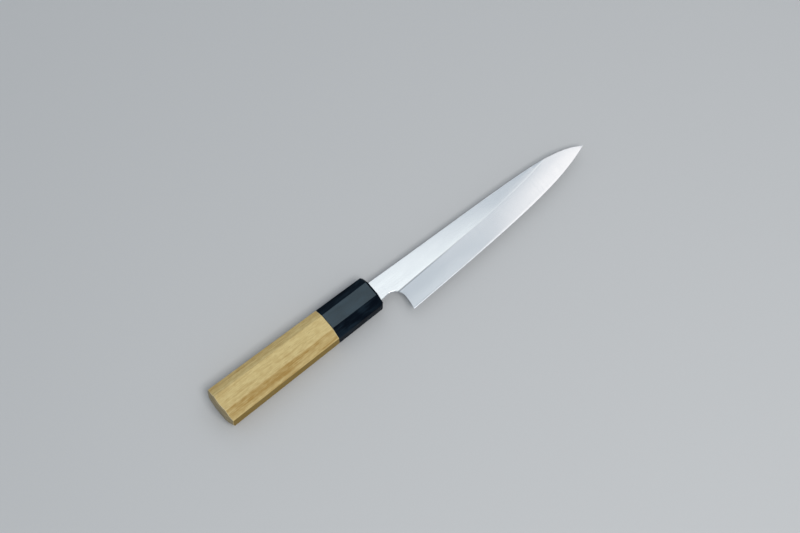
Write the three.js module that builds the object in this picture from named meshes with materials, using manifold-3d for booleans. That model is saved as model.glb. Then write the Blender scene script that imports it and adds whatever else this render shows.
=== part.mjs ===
// Petty knife with a flush eight-sided handle, lying on its left side.
//
// Blade and tang are one forged piece of steel. The tang sits in a bedding of resin inside a slotted
// dowel, and the same dowel pins the dark ferrule to the wooden grip.
//
// Design axes, in millimetres: x runs along the handle to the tip from the middle of the ferrule's front
// face, y points to the spine, and z points to the right side of the blade.

import * as THREE from "three";
import { mergeVertices } from "three/addons/utils/BufferGeometryUtils.js";
import Module from "manifold-3d";

// Blade outline
const EDGE_LENGTH = 150;
const HEEL_SETBACK = 12.7;
const HEEL_DEPTH = 23.8;
const HEEL_LEAN = 1.17;
const TIP_DROP = 6.86;
const NECK_RISE = 6.34;
const NECK_FALL = 7.3;
const NECK_UNDERSIDE_SLOPE = 0.099;
const CHOIL_RADIUS = 7.5;

// Sweep of the two outline curves: slope at each end, and how far along the blade that slope carries
const SPINE_FALL_SLOPE = 0.029;
const SPINE_TIP_SLOPE = 0.69;
const SPINE_STRAIGHT_REACH = 0.722;
const SPINE_TIP_REACH = 0.111;
const EDGE_RISE_SLOPE = 0.0473;
const EDGE_TIP_SLOPE = 0.367;
const EDGE_STRAIGHT_REACH = 0.625;
const EDGE_TIP_REACH = 0.177;

// Blade grind
const NECK_THICKNESS = 1.8;
const TIP_THICKNESS = 0.9;
const BEVEL_WIDTH = 14.4;
const BEVEL_FLARE = 1.2;
const BEVEL_FLARE_START = 84;
const THICKNESS_BEHIND_EDGE = 0.25;
const CUTTING_EDGE_ANGLE = THREE.MathUtils.degToRad(30);
const SPINE_CHAMFER = 0.3;

// Tang
const TANG_LENGTH = 93;
const TANG_ROOT_HEIGHT = 8.8;
const TANG_END_HEIGHT = 5.2;
const TANG_POINT_LENGTH = 3;
const TANG_THICKNESS = 1.7;

// Handle
const GRIP_LENGTH = 81.6;
const FERRULE_LENGTH = 34.7;
const FRONT_HEIGHT = 21.8;
const FRONT_THICKNESS = 17.8;
const FRONT_SIDE_FLAT = 10.4;
const FRONT_TOP_FLAT = 8;
const BUTT_HEIGHT = 24.9;
const BUTT_THICKNESS = 18.9;
const BUTT_SIDE_FLAT = 11;
const BUTT_TOP_FLAT = 10.2;
const FERRULE_FRONT_WALL = 8;
const FERRULE_CHAMFER = 1.2;
const BUTT_CHAMFER_LENGTH = 2;
const BUTT_CHAMFER_INSET = 2.4;

// Joint between tang, dowel and handle
const FIT_GAP = 0.3;
const BEDDING_WALL = 0.7;
const BEDDING_END = 2;
const DOWEL_WALL = 1.1;
const DOWEL_END = 5;

// Fineness of the curves
const BLADE_STATIONS = 72;
const STATION_CROWDING = 1.7;
const CHOIL_SEGMENTS = 18;
const DOWEL_SEGMENTS = 40;
const CHAMFER_SEGMENTS = 64;
const CURVE_SEARCH_STEPS = 40;

// Limits that keep the section whole where the blade runs out to its tip
const EDGE_SHARE_AT_TIP = 0.2;
const RIDGE_SHARE_AT_TIP = 0.82;
const CHAMFER_SHARE_AT_TIP = 0.1;
const CHAMFER_SHARE_OF_THICKNESS = 0.6;

const tipX = HEEL_SETBACK + EDGE_LENGTH;
const gripFrontX = -FERRULE_LENGTH - FIT_GAP;
const buttX = gripFrontX - GRIP_LENGTH;
const dowelFrontX = -FERRULE_FRONT_WALL - FIT_GAP;
const tangEndX = -TANG_LENGTH;
const mortiseEndX = tangEndX - FIT_GAP - BEDDING_END - FIT_GAP;
const dowelEndX = mortiseEndX - DOWEL_END;
const boreEndX = dowelEndX - FIT_GAP;
const mortiseWall = FIT_GAP + BEDDING_WALL + FIT_GAP;
const mortiseHeight = TANG_ROOT_HEIGHT + 2 * mortiseWall;
const mortiseThickness = TANG_THICKNESS + 2 * mortiseWall;
const dowelRadius = Math.hypot(mortiseHeight, mortiseThickness) / 2 + DOWEL_WALL;
const cutAllowance = NECK_THICKNESS;

const wasm = await Module();
wasm.setup();

/** Makes a solid of a closed geometry, with its faces turned outwards. */
function toSolid(geometry) {
  const bare = geometry.clone();
  bare.deleteAttribute("normal");
  bare.deleteAttribute("uv");
  const merged = mergeVertices(bare, 1e-4);
  const points = merged.getAttribute("position");
  const corner = [new THREE.Vector3(), new THREE.Vector3(), new THREE.Vector3()];
  const triangles = [];
  let volume = 0;
  for (let i = 0; i < merged.index.count; i += 3) {
    const [a, b, c] = merged.index.array.slice(i, i + 3);
    if (a === b || b === c || c === a) continue;
    triangles.push([a, b, c]);
    [a, b, c].forEach((vertex, place) => corner[place].fromBufferAttribute(points, vertex));
    volume += corner[0].dot(corner[1].cross(corner[2])) / 6;
  }
  const outward = volume < 0 ? triangles.map(([a, b, c]) => [a, c, b]) : triangles;
  return new wasm.Manifold(
    new wasm.Mesh({
      numProp: 3,
      vertProperties: Float32Array.from(points.array),
      triVerts: Uint32Array.from(outward.flat()),
    }),
  );
}

/** Makes a flat-shaded geometry of a solid. */
function toGeometry(solid) {
  const { numProp, vertProperties, triVerts } = solid.getMesh();
  const positions = [];
  for (let i = 0; i < vertProperties.length; i += numProp) {
    positions.push(vertProperties[i], vertProperties[i + 1], vertProperties[i + 2]);
  }
  const geometry = new THREE.BufferGeometry();
  geometry.setAttribute("position", new THREE.Float32BufferAttribute(positions, 3));
  geometry.setIndex(Array.from(triVerts));
  const faceted = geometry.toNonIndexed();
  faceted.computeVertexNormals();
  return faceted;
}

/** Skins a run of convex sections that all have the same number of points. */
function loft(sections) {
  const count = sections[0].length;
  const last = (sections.length - 1) * count;
  const index = [];
  for (let start = 0; start < last; start += count) {
    for (let side = 0; side < count; side += 1) {
      const next = (side + 1) % count;
      const [a, b] = [start + side, start + next];
      index.push(a, b, b + count, a, b + count, a + count);
    }
  }
  for (let side = 1; side < count - 1; side += 1) {
    index.push(0, side + 1, side);
    index.push(last, last + side, last + side + 1);
  }
  const geometry = new THREE.BufferGeometry().setFromPoints(sections.flat());
  geometry.setIndex(index);
  return geometry;
}

/** A box between two x places, centred on the handle axis. */
function axialBox(fromX, toX, height, thickness) {
  const box = new THREE.BoxGeometry(Math.abs(toX - fromX), height, thickness);
  return box.translate((fromX + toX) / 2, 0, 0);
}

/** A round bar between two x places, on the handle axis. */
function axialBar(fromX, toX, radius) {
  const bar = new THREE.CylinderGeometry(radius, radius, Math.abs(toX - fromX), DOWEL_SEGMENTS);
  return bar.rotateZ(Math.PI / 2).translate((fromX + toX) / 2, 0, 0);
}

/** A flat outline raised to a plate that is centred on the blade's middle plane. */
function plate(outline, thickness) {
  const settings = { depth: thickness, bevelEnabled: false, curveSegments: CHOIL_SEGMENTS };
  return new THREE.ExtrudeGeometry(outline, settings).translate(0, 0, -thickness / 2);
}

/** Height of a curve that only ever moves forward in x. */
function heightAt(curve, x) {
  let low = 0;
  let high = 1;
  for (let step = 0; step < CURVE_SEARCH_STEPS; step += 1) {
    const middle = (low + high) / 2;
    if (curve.getPoint(middle).x < x) low = middle;
    else high = middle;
  }
  return curve.getPoint((low + high) / 2).y;
}

/** The back of the blade: almost straight from the neck, then dropping to the tip. */
function spineCurve() {
  const straight = SPINE_STRAIGHT_REACH * tipX;
  const turn = SPINE_TIP_REACH * tipX;
  return new THREE.CubicBezierCurve(
    new THREE.Vector2(0, NECK_RISE),
    new THREE.Vector2(straight, NECK_RISE - SPINE_FALL_SLOPE * straight),
    new THREE.Vector2(tipX - turn, -TIP_DROP + SPINE_TIP_SLOPE * turn),
    new THREE.Vector2(tipX, -TIP_DROP),
  );
}

/** The cutting edge: a long flat run from the heel, then a belly that sweeps up to the tip. */
function edgeCurve() {
  const straight = EDGE_STRAIGHT_REACH * EDGE_LENGTH;
  const turn = EDGE_TIP_REACH * EDGE_LENGTH;
  return new THREE.CubicBezierCurve(
    new THREE.Vector2(HEEL_SETBACK, -HEEL_DEPTH),
    new THREE.Vector2(HEEL_SETBACK + straight, -HEEL_DEPTH + EDGE_RISE_SLOPE * straight),
    new THREE.Vector2(tipX - turn, -TIP_DROP - EDGE_TIP_SLOPE * turn),
    new THREE.Vector2(tipX, -TIP_DROP),
  );
}

/** Width of the ground bevel, which flares where its ridge climbs to the spine. */
function bevelWidth(x) {
  const along = (x - BEVEL_FLARE_START) / (tipX - BEVEL_FLARE_START);
  return BEVEL_WIDTH + BEVEL_FLARE * Math.max(0, along) ** 2;
}

/** Section of the ground blank at one place: cutting edge, bevels, flats and a chamfered spine. */
function bladeSection(x, spine, edge) {
  const top = heightAt(spine, x);
  const behindHeel = Math.min(0, x - HEEL_SETBACK);
  const bottom = heightAt(edge, Math.max(x, HEEL_SETBACK)) + EDGE_RISE_SLOPE * behindHeel;
  const height = top - bottom;
  const flat = THREE.MathUtils.lerp(NECK_THICKNESS, TIP_THICKNESS, x / tipX) / 2;
  const shoulder = THICKNESS_BEHIND_EDGE / 2;
  const bevel = bevelWidth(x);
  const bevelSlope = (flat - shoulder) / bevel;
  const edgeSlope = Math.tan(CUTTING_EDGE_ANGLE / 2);
  const edgeFacet = Math.min(shoulder / (edgeSlope - bevelSlope), EDGE_SHARE_AT_TIP * height);
  const ridge = Math.min(bevel, RIDGE_SHARE_AT_TIP * height);
  const halfAtEdgeFacet = edgeSlope * edgeFacet;
  const halfAtRidge = halfAtEdgeFacet + bevelSlope * (ridge - edgeFacet);
  const chamferDrop = Math.min(SPINE_CHAMFER, CHAMFER_SHARE_AT_TIP * height);
  const halfAtChamfer = Math.min(flat, halfAtRidge + bevelSlope * (height - chamferDrop - ridge));
  const chamferInset = Math.min(SPINE_CHAMFER, CHAMFER_SHARE_OF_THICKNESS * halfAtChamfer);
  const rightSide = [
    [height, halfAtChamfer - chamferInset],
    [height - chamferDrop, halfAtChamfer],
    [ridge, halfAtRidge],
    [edgeFacet, halfAtEdgeFacet],
  ];
  const leftSide = rightSide.map(([rise, half]) => [rise, -half]).reverse();
  const outline = [[0, 0], ...leftSide, ...rightSide];
  return outline.map(([rise, side]) => new THREE.Vector3(x, bottom + rise, side));
}

/** The ground blade before the hollow behind its heel is cut, closing to a point at the tip. */
function bladeBlank() {
  const spine = spineCurve();
  const edge = edgeCurve();
  const sections = [];
  for (let station = 0; station < BLADE_STATIONS; station += 1) {
    const left = (1 - station / BLADE_STATIONS) ** STATION_CROWDING;
    sections.push(bladeSection(THREE.MathUtils.lerp(tipX, FIT_GAP, left), spine, edge));
  }
  const tip = new THREE.Vector3(tipX, -TIP_DROP, 0);
  sections.push(sections[0].map(() => tip));
  return loft(sections);
}

/** What is ground away under the neck: a rising line, a round hollow and the overhanging heel. */
function choilCutter() {
  const underside = Math.atan(NECK_UNDERSIDE_SLOPE);
  const behindShoulder = -HEEL_SETBACK;
  const hollowX = HEEL_SETBACK + HEEL_LEAN;
  const arcX = hollowX - CHOIL_RADIUS;
  const arcY = -NECK_FALL + NECK_UNDERSIDE_SLOPE * arcX - CHOIL_RADIUS / Math.cos(underside);
  const bendY = (arcY - HEEL_DEPTH) / 2;
  const below = HEEL_DEPTH;
  const runOut = (HEEL_LEAN * below) / (HEEL_DEPTH + bendY);
  const outline = new THREE.Shape();
  outline.moveTo(behindShoulder, -NECK_FALL + NECK_UNDERSIDE_SLOPE * behindShoulder);
  outline.lineTo(arcX - CHOIL_RADIUS * Math.sin(underside), arcY + CHOIL_RADIUS * Math.cos(underside));
  outline.absarc(arcX, arcY, CHOIL_RADIUS, Math.PI / 2 + underside, 0, true);
  outline.quadraticCurveTo(hollowX, bendY, HEEL_SETBACK, -HEEL_DEPTH);
  outline.lineTo(HEEL_SETBACK - runOut, -HEEL_DEPTH - below);
  outline.lineTo(behindShoulder - runOut, -HEEL_DEPTH - below);
  return plate(outline, NECK_THICKNESS + 2 * cutAllowance);
}

/** The tang, drawn with an allowance all round for the cavity that holds it. */
function tang(allowance, rootX) {
  const root = TANG_ROOT_HEIGHT / 2 + allowance;
  const end = TANG_END_HEIGHT / 2 + allowance;
  const endX = tangEndX - allowance;
  const outline = new THREE.Shape();
  outline.moveTo(rootX, -root);
  outline.lineTo(rootX, root);
  outline.lineTo(0, root);
  outline.lineTo(endX + TANG_POINT_LENGTH, end);
  outline.lineTo(endX, 0);
  outline.lineTo(endX + TANG_POINT_LENGTH, -end);
  outline.lineTo(0, -root);
  return plate(outline, TANG_THICKNESS + 2 * allowance);
}

/** Eight corners of the handle at one place, drawn in by a chamfer if there is one. */
function handleSection(x, chamfer = 0) {
  const back = x / buttX;
  const drawnIn = chamfer * Math.tan(Math.PI / 8);
  const height = THREE.MathUtils.lerp(FRONT_HEIGHT, BUTT_HEIGHT, back) / 2 - chamfer;
  const thickness = THREE.MathUtils.lerp(FRONT_THICKNESS, BUTT_THICKNESS, back) / 2 - chamfer;
  const sideFlat = THREE.MathUtils.lerp(FRONT_SIDE_FLAT, BUTT_SIDE_FLAT, back) / 2 - drawnIn;
  const topFlat = THREE.MathUtils.lerp(FRONT_TOP_FLAT, BUTT_TOP_FLAT, back) / 2 - drawnIn;
  const spineHalf = [
    [sideFlat, -thickness],
    [height, -topFlat],
    [height, topFlat],
    [sideFlat, thickness],
  ];
  const edgeHalf = spineHalf.map(([up, side]) => [-up, -side]);
  return [...spineHalf, ...edgeHalf].map(([up, side]) => new THREE.Vector3(x, up, side));
}

/** A turned envelope, oval like the handle, whose cone eases the corners of the butt. */
function buttEnvelope() {
  const flatLand = 1 - BUTT_CHAMFER_INSET / (BUTT_THICKNESS / 2);
  const sideCorner = Math.hypot(1, BUTT_SIDE_FLAT / BUTT_HEIGHT);
  const topCorner = Math.hypot(1, BUTT_TOP_FLAT / BUTT_THICKNESS);
  const coneWidth = Math.max(sideCorner, topCorner) - flatLand;
  const clearOfCorners = flatLand + 2 * coneWidth;
  const length = -buttX;
  const profile = [
    new THREE.Vector2(0, 0),
    new THREE.Vector2(flatLand, 0),
    new THREE.Vector2(clearOfCorners, 2 * BUTT_CHAMFER_LENGTH),
    new THREE.Vector2(clearOfCorners, length),
    new THREE.Vector2(0, length),
  ];
  return new THREE.LatheGeometry(profile, CHAMFER_SEGMENTS)
    .rotateZ(-Math.PI / 2)
    .scale(1, BUTT_HEIGHT / 2, BUTT_THICKNESS / 2)
    .translate(buttX, 0, 0);
}

function bladeSolid() {
  const shouldered = toSolid(bladeBlank()).subtract(toSolid(choilCutter()));
  return shouldered.add(toSolid(tang(0, FIT_GAP + NECK_THICKNESS)));
}

function ferruleSolid() {
  const block = loft([
    handleSection(-FERRULE_LENGTH),
    handleSection(-FERRULE_CHAMFER),
    handleSection(0, FERRULE_CHAMFER),
  ]);
  const bore = axialBar(gripFrontX, -FERRULE_FRONT_WALL, dowelRadius + FIT_GAP);
  const slotHeight = TANG_ROOT_HEIGHT + 2 * FIT_GAP;
  const slot = axialBox(gripFrontX, cutAllowance, slotHeight, TANG_THICKNESS + 2 * FIT_GAP);
  return toSolid(block).subtract(toSolid(bore)).subtract(toSolid(slot));
}

function gripSolid() {
  const block = loft([handleSection(buttX), handleSection(gripFrontX)]);
  const bore = axialBar(boreEndX, gripFrontX + cutAllowance, dowelRadius + FIT_GAP);
  return toSolid(block).intersect(toSolid(buttEnvelope())).subtract(toSolid(bore));
}

function dowelSolid() {
  const mortise = axialBox(mortiseEndX, dowelFrontX + cutAllowance, mortiseHeight, mortiseThickness);
  return toSolid(axialBar(dowelEndX, dowelFrontX, dowelRadius)).subtract(toSolid(mortise));
}

function beddingSolid() {
  const height = mortiseHeight - 2 * FIT_GAP;
  const thickness = mortiseThickness - 2 * FIT_GAP;
  const fill = axialBox(mortiseEndX + FIT_GAP, dowelFrontX, height, thickness);
  return toSolid(fill).subtract(toSolid(tang(FIT_GAP, FIT_GAP)));
}

/** One named sub-part with its finish. */
function subPart(name, solid, color, roughness, metalness) {
  const mesh = new THREE.Mesh(
    toGeometry(solid),
    new THREE.MeshStandardMaterial({ color, roughness, metalness }),
  );
  mesh.name = name;
  return mesh;
}

const lyingKnife = new THREE.Group();
lyingKnife.add(
  subPart("blade", bladeSolid(), 0xdde3e9, 0.25, 1),
  subPart("ferrule", ferruleSolid(), 0x1c1f22, 0.4, 0),
  subPart("grip", gripSolid(), 0xc9b274, 0.6, 0),
  subPart("core_dowel", dowelSolid(), 0xb89a66, 0.75, 0),
  subPart("tang_bedding", beddingSolid(), 0x8a7440, 0.5, 0),
);

// The handle tapers, so the knife turns a little about y until its left flat is level.
lyingKnife.rotation.y = Math.atan2((BUTT_THICKNESS - FRONT_THICKNESS) / 2, -buttX);

const knife = new THREE.Group();
knife.add(lyingKnife);
knife.updateMatrixWorld(true);

// The origin lies under the middle of the knife, on the surface that it rests on.
const extent = new THREE.Box3().setFromObject(knife, true);
const middle = extent.getCenter(new THREE.Vector3());
lyingKnife.position.set(-middle.x, -middle.y, -extent.min.z);

export default knife;
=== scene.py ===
"""Petty knife on a pale floor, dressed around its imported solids.

Every piece is modelled in millimetres in the knife's own axes, with x along the handle to the tip from the
middle of the ferrule's front face, y to the spine and z out of the blade's right side. It is then laid into
the frame, which is in metres, with its place in its mesh.
"""

from __future__ import annotations

import logging
import math
from abc import ABC, abstractmethod
from collections.abc import Callable, Iterator
from contextlib import contextmanager
from dataclasses import astuple, dataclass
from enum import Enum

import bmesh
import bpy
from mathutils import Matrix, Vector


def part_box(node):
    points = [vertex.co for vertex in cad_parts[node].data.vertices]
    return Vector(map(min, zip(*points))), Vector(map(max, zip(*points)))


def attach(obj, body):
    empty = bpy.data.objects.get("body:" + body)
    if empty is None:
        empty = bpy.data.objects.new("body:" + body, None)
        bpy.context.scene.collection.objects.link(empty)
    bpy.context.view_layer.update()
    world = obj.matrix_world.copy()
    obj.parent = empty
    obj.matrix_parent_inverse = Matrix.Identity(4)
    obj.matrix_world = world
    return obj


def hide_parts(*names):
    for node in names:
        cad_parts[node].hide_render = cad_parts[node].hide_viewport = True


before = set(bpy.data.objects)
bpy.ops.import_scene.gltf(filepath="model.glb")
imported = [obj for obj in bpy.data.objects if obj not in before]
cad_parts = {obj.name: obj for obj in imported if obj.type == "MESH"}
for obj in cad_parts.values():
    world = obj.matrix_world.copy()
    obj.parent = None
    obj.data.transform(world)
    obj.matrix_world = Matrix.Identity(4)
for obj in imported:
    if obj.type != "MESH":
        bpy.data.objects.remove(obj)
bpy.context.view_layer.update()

LOG = logging.getLogger("petty_knife")
BODY = "root"

Point = tuple[float, float]
Triple = tuple[float, float, float]
Piece = bpy.types.Object
Socket = bpy.types.NodeSocket
Colour = Triple | Socket
Feed = float | Vector | Colour
Element = bmesh.types.BMVert | bmesh.types.BMEdge | bmesh.types.BMFace

MM = 0.001
MERGE_DISTANCE = 1e-4
ORIGIN: Triple = (0.0, 0.0, 0.0)
ALONG_HANDLE: Triple = (0.0, math.pi / 2, 0.0)
FACES_FORWARD = 0.9
HANDLE_SIDES = 8
BORE_SIDES = 64
BREAK_SEGMENTS = 3
CURVE_HALVINGS = 40
SHARP_EDGE = math.radians(20)
SMOOTH_BELOW = math.radians(35)
FLAT_FACE_WEIGHT = 100

# Cutters run past the faces that they open by this many millimetres.
OVERRUN = 1.0

# The grind map runs from the tang's end to the tip, and from the cutting edge up to this share at the ridge.
GRIND_MAP = "grind"
RIDGE_SHARE = 0.4

# Nearly all values of a cloudy pattern lie in this span.
MIDDLING: Point = (0.3, 0.7)
RAMP_SOCKETS = ("From Min", "From Max", "To Min", "To Max")

# A wave texture of this scale has one ring per unit.
UNIT_RINGS = math.pi / 10

# A Mix node has sockets of the same names for each kind of value, so those for colours go by number.
MIX_COLOURS = (6, 7)
MIX_COLOUR_RESULT = 2


class Pick(Enum):
    """Kinds of mesh element that can be selected."""

    VERTS = "VERT"
    EDGES = "EDGE"
    FACES = "FACE"


class Cut(Enum):
    """Ways that one solid can work on another."""

    KEEP_INSIDE = "INTERSECT"
    TAKE_AWAY = "DIFFERENCE"
    JOIN = "UNION"


class Edges(Enum):
    """Edges of a piece that can be rounded."""

    SHARP = "ANGLE"
    WEIGHTED = "WEIGHT"


class Combine(Enum):
    """Ways that two patterns can be put together."""

    SUM = "ADD"
    DIFFERENCE = "SUBTRACT"
    PRODUCT = "MULTIPLY"


class BoxShape(Enum):
    """Outlines of a soft box."""

    OVAL = "ELLIPSE"
    SQUARE = "RECTANGLE"


def blend(start: float, end: float, share: float) -> float:
    """Returns the value that lies a share of the way from start to end."""
    return start + (end - start) * share


def bend(start: float, middle: float, end: float, share: float) -> float:
    """Returns the value a share of the way along a curve from start to end, drawn towards middle."""
    rest = 1 - share
    return rest ** 2 * start + 2 * rest * share * middle + share ** 2 * end


def ease(value: float, start: float, end: float) -> float:
    """Returns a share that runs smoothly from 0 at start to 1 at end."""
    share = min(1.0, max(0.0, (value - start) / (end - start)))
    return share * share * (3 - 2 * share)


def make_active(piece: Piece) -> None:
    """Selects one object alone and makes it the active one.

    Args:
        piece: Object to select.
    """
    bpy.ops.object.select_all(action="DESELECT")
    piece.select_set(True)
    bpy.context.view_layer.objects.active = piece


def take_new(name: str) -> Piece:
    """Names the primitive that was just added, and its mesh.

    Args:
        name: Name for the object and its mesh.

    Returns:
        The new object, with its turn and size moved into its mesh.
    """
    piece = bpy.context.active_object
    piece.name = name
    piece.data.name = name
    bpy.ops.object.transform_apply(location=True, rotation=True, scale=True)
    return piece


@contextmanager
def editing(piece: Piece) -> Iterator[None]:
    """Opens a piece in edit mode with nothing selected, and leaves edit mode afterwards.

    Args:
        piece: Mesh object to open.

    Yields:
        Nothing, while the piece is open.
    """
    make_active(piece)
    bpy.ops.object.mode_set(mode="EDIT")
    bpy.ops.mesh.select_all(action="DESELECT")
    yield
    bpy.ops.object.mode_set(mode="OBJECT")


def pick(piece: Piece, kind: Pick, test: Callable[[Element], bool]) -> None:
    """Selects the elements of an open piece that pass a test, and nothing else.

    Args:
        piece: Object in edit mode.
        kind: Which elements are tested.
        test: Says whether an element is wanted.
    """
    bpy.ops.mesh.select_mode(type=kind.value)
    bpy.ops.mesh.select_all(action="DESELECT")
    mesh = bmesh.from_edit_mesh(piece.data)
    groups = {Pick.VERTS: mesh.verts, Pick.EDGES: mesh.edges, Pick.FACES: mesh.faces}
    for element in filter(test, groups[kind]):
        element.select_set(True)
    mesh.select_flush_mode()
    bmesh.update_edit_mesh(piece.data)


def push_out(offset: Triple) -> None:
    """Extrudes the selected faces by an offset."""
    bpy.ops.mesh.extrude_region_move(TRANSFORM_OT_translate={"value": offset})


def apply_modifier(piece: Piece, kind: str, **settings: object) -> None:
    """Adds a modifier to a piece and applies it.

    Args:
        piece: Object that is changed.
        kind: Blender's name for the modifier type.
        **settings: Properties of the modifier by name.
    """
    make_active(piece)
    modifier = piece.modifiers.new(kind.lower(), kind)
    for name, value in settings.items():
        setattr(modifier, name, value)
    bpy.ops.object.modifier_apply(modifier=modifier.name)


def cut_with(piece: Piece, tool: Piece, way: Cut) -> None:
    """Works on a piece with a second solid, which is used up."""
    apply_modifier(piece, "BOOLEAN", operation=way.value, solver="EXACT", object=tool)
    bpy.data.objects.remove(tool)


def break_edges(piece: Piece, width: float, edges: Edges = Edges.SHARP) -> None:
    """Rounds the chosen edges of a piece, as far as a width from each edge."""
    form = {"width": width, "segments": BREAK_SEGMENTS, "use_clamp_overlap": False}
    apply_modifier(piece, "BEVEL", limit_method=edges.value, angle_limit=SHARP_EDGE, **form)


def smooth(piece: Piece) -> None:
    """Shades a piece smooth across its slight edges, with the large faces kept flat.

    Args:
        piece: Object that is changed.
    """
    make_active(piece)
    bpy.ops.object.shade_smooth_by_angle(angle=SMOOTH_BELOW)
    apply_modifier(piece, "WEIGHTED_NORMAL", keep_sharp=True, weight=FLAT_FACE_WEIGHT)


def plate(name: str, outline: list[Point], thickness: float) -> Piece:
    """Raises a flat outline to a plate that is centred on the blade's middle plane.

    Args:
        name: Name for the object.
        outline: Corners in x and y, counterclockwise seen from above.
        thickness: Size of the plate along z.

    Returns:
        The new plate.
    """
    bpy.ops.mesh.primitive_circle_add(vertices=len(outline), radius=1, fill_type="NGON")
    piece = take_new(name)
    with editing(piece):
        mesh = bmesh.from_edit_mesh(piece.data)
        around = sorted(mesh.verts, key=lambda vertex: math.atan2(vertex.co.y, vertex.co.x))
        for vertex, (x, y) in zip(around, outline):
            vertex.co = (x, y, -thickness / 2)
        bmesh.update_edit_mesh(piece.data)
        bpy.ops.mesh.select_all(action="SELECT")
        push_out((0, 0, thickness))
        bpy.ops.mesh.select_all(action="SELECT")
        bpy.ops.mesh.normals_make_consistent(inside=False)
    return piece


def bar(name: str, from_x: float, to_x: float, radius: float, sides: int) -> Piece:
    """Makes a bar with so many sides on the handle axis, from one place forward to another."""
    bpy.ops.mesh.primitive_cylinder_add(vertices=sides, radius=radius, depth=to_x - from_x,
                                        location=((from_x + to_x) / 2, 0, 0), rotation=ALONG_HANDLE)
    return take_new(name)


@dataclass(frozen=True)
class Fade:
    """A span of values and the results at its two ends, with a smooth run between them."""

    span: Point
    results: Point = (0.0, 1.0)


@dataclass(frozen=True)
class Mottle:
    """A cloudy pattern, by its cells per millimetre along each axis and its finer layers."""

    cells: Triple
    detail: float = 4.0
    roughness: float = 0.55


class NodeTree:
    """A node tree, filled in one step at a time."""

    def __init__(self, tree: bpy.types.NodeTree) -> None:
        """Starts with the tree emptied."""
        self.tree = tree
        self.tree.nodes.clear()

    def give(self, target: Socket, value: Feed) -> None:
        """Links an input to a source, or sets it to a constant.

        Args:
            target: Input socket.
            value: Output socket, number, vector or colour.
        """
        if isinstance(value, Socket):
            self.tree.links.new(value, target)
        else:
            target.default_value = (*value, 1.0) if target.type == "RGBA" else value

    def add(self, kind: str, feeds: dict[str | int, Feed] | None = None, **settings: str) -> bpy.types.Node:
        """Adds a node.

        Args:
            kind: Blender's name for the node type.
            feeds: What the inputs take, by the name or number of each input.
            **settings: Properties of the node by name.

        Returns:
            The new node.
        """
        node = self.tree.nodes.new(kind)
        for name, value in settings.items():
            setattr(node, name, value)
        for name, value in (feeds or {}).items():
            self.give(node.inputs[name], value)
        return node

    def part(self, vector: Socket, axis: str) -> Socket:
        """Returns one axis of a vector, named X, Y or Z."""
        return self.add("ShaderNodeSeparateXYZ", {"Vector": vector}).outputs[axis]

    def ramp(self, value: Socket, fade: Fade) -> Socket:
        """Returns values mapped by a fade, and held at both ends of its span."""
        feeds = {"Value": value, **dict(zip(RAMP_SOCKETS, (*fade.span, *fade.results)))}
        return self.add("ShaderNodeMapRange", feeds, interpolation_type="SMOOTHSTEP").outputs["Result"]


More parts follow.
